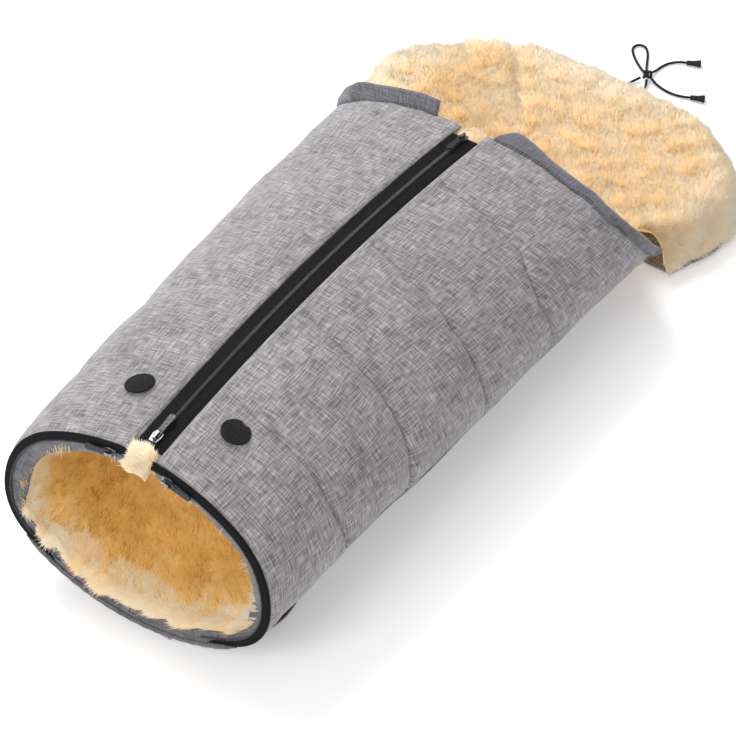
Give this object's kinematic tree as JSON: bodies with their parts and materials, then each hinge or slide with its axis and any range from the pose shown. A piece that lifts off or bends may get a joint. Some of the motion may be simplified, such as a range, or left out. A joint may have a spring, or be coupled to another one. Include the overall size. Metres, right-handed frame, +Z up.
{
  "type": "pushchair footmuff",
  "caption": "Sheepskin-lined woven-fabric footmuff for a pushchair, with a two-way front zip, a zip-round foot flap, collar bands and a drawcord hood.",
  "frame": {"origin": "middle of the footprint on the floor, free drawcord left out", "axes": "+X is the muff's right side, +Y runs from the foot to the head, +Z is up as the muff lies on its back"},
  "size_m": [0.48, 1.0744, 0.2318],
  "materials": {
    "woven_fabric": "melange grey slub weave, matt",
    "dark_fabric": "darker bluish grey weave, matt",
    "sheepskin_wool": "dense honey-coloured wool pile",
    "zip_tape": "black woven zip tape, slight sheen",
    "zip_coil": "grey nylon coil",
    "zip_metal": "dark plated metal with worn bright edges",
    "fastening_dot": "matt black hook-and-loop disc",
    "drawcord": "black braided cord and moulded ends"
  },
  "bodies": {
    "muff": {"front_panel_left": "woven_fabric", "front_lining_left": "sheepskin_wool", "front_panel_right": "woven_fabric", "front_lining_right": "sheepskin_wool", "back_panel": "woven_fabric", "back_lining": "sheepskin_wool", "collar_left": "dark_fabric", "collar_right": "dark_fabric", "front_zip_tape_left": "zip_tape", "front_zip_coil_left": "zip_coil", "front_zip_tape_right": "zip_tape", "front_zip_coil_right": "zip_coil", "foot_facing_left": "dark_fabric", "foot_zip_tape_left": "zip_tape", "foot_zip_coil_left": "zip_coil", "foot_facing_right": "dark_fabric", "foot_zip_tape_right": "zip_tape", "foot_zip_coil_right": "zip_coil", "flap_hinge_fold": "dark_fabric", "dot_left": "fastening_dot", "dot_right": "fastening_dot"},
    "hood": {"hood_shell": "woven_fabric", "hood_lining": "sheepskin_wool", "hood_hem": "dark_fabric", "drawcord_in_hem_left": "drawcord", "eyelet_left": "zip_metal", "drawcord_in_hem_right": "drawcord", "eyelet_right": "zip_metal", "cord_knot": "drawcord", "cord_lead_left": "drawcord", "cord_lead_right": "drawcord", "cord_loop": "drawcord", "cord_tail_one": "drawcord", "cord_tail_two": "drawcord", "cord_end_one": "drawcord", "cord_end_two": "drawcord"},
    "foot_flap": {"flap_shell": "woven_fabric", "flap_lining": "sheepskin_wool", "flap_zip_tape_left": "zip_tape", "flap_zip_coil_left": "zip_coil", "flap_zip_tape_right": "zip_tape", "flap_zip_coil_right": "zip_coil"},
    "front_top_slider": {"front_zip_top_slider": "zip_metal"},
    "front_top_pull": {"front_zip_top_pull": "zip_metal"},
    "front_bottom_slider": {"front_zip_bottom_slider": "zip_metal"},
    "front_bottom_pull": {"front_zip_bottom_pull": "zip_metal"},
    "foot_slider_left": {"foot_zip_slider_left": "zip_metal"},
    "foot_pull_left": {"foot_zip_pull_left": "zip_metal"},
    "foot_slider_right": {"foot_zip_slider_right": "zip_metal"},
    "foot_pull_right": {"foot_zip_pull_right": "zip_metal"}
  },
  "joints": [
    {"name": "front_top_slide", "type": "hinge", "parent": "muff", "child": "front_top_slider", "pos_m": [0, -0.20515, -1.69989], "axis": [1, 0, 0], "range_deg": [0, 7.57]},
    {"name": "front_bottom_slide", "type": "hinge", "parent": "muff", "child": "front_bottom_slider", "pos_m": [0, -0.20515, -1.69989], "axis": [-1, 0, 0], "range_deg": [0, 7.42]},
    {"name": "front_top_pull_swing", "type": "hinge", "parent": "front_top_slider", "child": "front_top_pull", "pos_m": [0, 0.13115, 0.20541], "axis": [-1, 0, 0], "range_deg": [0, 170]},
    {"name": "front_bottom_pull_swing", "type": "hinge", "parent": "front_bottom_slider", "child": "front_bottom_pull", "pos_m": [0, -0.41397, 0.22356], "axis": [1, 0, 0], "range_deg": [0, 170]},
    {"name": "foot_slide_left", "type": "hinge", "parent": "muff", "child": "foot_slider_left", "pos_m": [0, -0.4795, -0.00793], "axis": [0, -0.9822, 0.1876], "range_deg": [0, 15.21]},
    {"name": "foot_slide_right", "type": "hinge", "parent": "muff", "child": "foot_slider_right", "pos_m": [0, -0.4795, -0.00793], "axis": [0, 0.9822, -0.1876], "range_deg": [0, 15.21]},
    {"name": "foot_pull_swing_left", "type": "hinge", "parent": "foot_slider_left", "child": "foot_pull_left", "pos_m": [-0.034, -0.44536, 0.20523], "axis": [-0.1556, 0.1853, 0.9703], "range_deg": [0, 170]},
    {"name": "foot_pull_swing_right", "type": "hinge", "parent": "foot_slider_right", "child": "foot_pull_right", "pos_m": [0.034, -0.44536, 0.20523], "axis": [-0.1556, -0.1853, -0.9703], "range_deg": [0, 170]},
    {"name": "foot_flap_fold", "type": "hinge", "parent": "muff", "child": "foot_flap", "pos_m": [0, -0.47836, 0.0103], "axis": [-1, 0, 0], "range_deg": [0, 280.81]},
    {"name": "hood_fold", "type": "hinge", "parent": "muff", "child": "hood", "pos_m": [0, 0.27446, 0.002], "axis": [1, 0, 0], "range_deg": [0, 45]}
  ]
}
